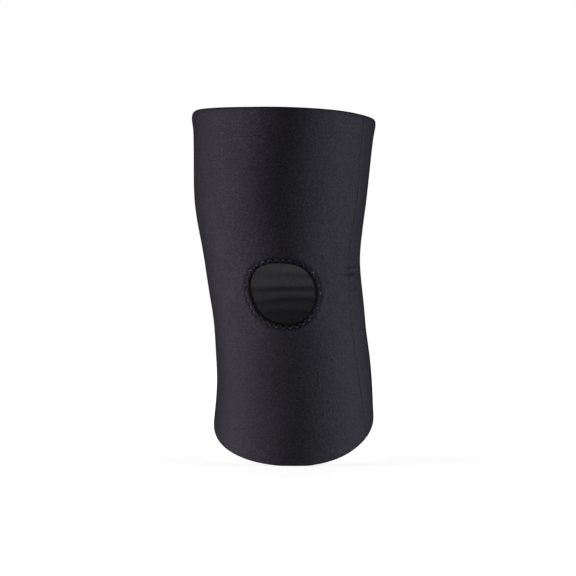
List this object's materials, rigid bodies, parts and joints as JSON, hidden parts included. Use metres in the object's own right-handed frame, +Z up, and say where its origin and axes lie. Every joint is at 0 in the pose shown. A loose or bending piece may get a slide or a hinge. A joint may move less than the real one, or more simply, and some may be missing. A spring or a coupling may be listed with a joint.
{
  "type": "knee support sleeve",
  "caption": "Pull-on neoprene knee support sleeve with a round open patella, raw-cut rims, a zigzag-stitched opening edge and one butt-joined side seam.",
  "frame": {"origin": "centre of the knee on the leg axis, level with the middle of the patella opening", "axes": "+Z up the thigh, -Y the front of the knee (the patella opening), +X the side that carries the seam. Rest pose: knee bent 28 degrees"},
  "size_m": [0.1469, 0.1684, 0.2821],
  "materials": {
    "outer_jersey": "black nylon knit face, fine vertical wales, soft low sheen",
    "foam_edge": "cut closed-cell chloroprene foam, matt, fine pores",
    "inner_lining": "charcoal nylon jersey lining, matt",
    "seam_cement": "dried contact cement, slightly glossy",
    "seam_tape": "woven nylon tape, matt",
    "thread": "textured nylon sewing thread, soft sheen",
    "care_label": "blank woven satin ribbon, off-white"
  },
  "bodies": {
    "thigh_part": {"outer_jersey_thigh": "outer_jersey", "outer_jersey_knee": "outer_jersey", "foam_core_thigh": "foam_edge", "foam_core_knee": "foam_edge", "inner_lining_thigh": "inner_lining", "inner_lining_knee": "inner_lining", "seam_cement_thigh": "seam_cement", "seam_cement_knee": "seam_cement", "inner_seam_tape_thigh": "seam_tape", "inner_seam_tape_knee": "seam_tape", "seam_zigzag_thread_thigh": "thread", "seam_zigzag_thread_knee": "thread", "seam_under_thread_thigh": "thread", "seam_under_thread_knee": "thread", "patella_edge_thread": "thread", "patella_edge_under_thread": "thread", "care_label": "care_label", "care_label_stitches": "thread"},
    "calf_part": {"outer_jersey_calf": "outer_jersey", "foam_core_calf": "foam_edge", "inner_lining_calf": "inner_lining", "seam_cement_calf": "seam_cement", "inner_seam_tape_calf": "seam_tape", "seam_zigzag_thread_calf": "thread", "seam_under_thread_calf": "thread"}
  },
  "joints": [
    {"name": "knee_flexion", "type": "hinge", "parent": "thigh_part", "child": "calf_part", "pos_m": [0, 0.005, -0.015], "axis": [1, 0, 0], "range_deg": [-28, 62], "deforming": ["outer_jersey_knee", "foam_core_knee", "inner_lining_knee", "seam_cement_knee", "inner_seam_tape_knee", "seam_zigzag_thread_knee", "seam_under_thread_knee"]}
  ]
}
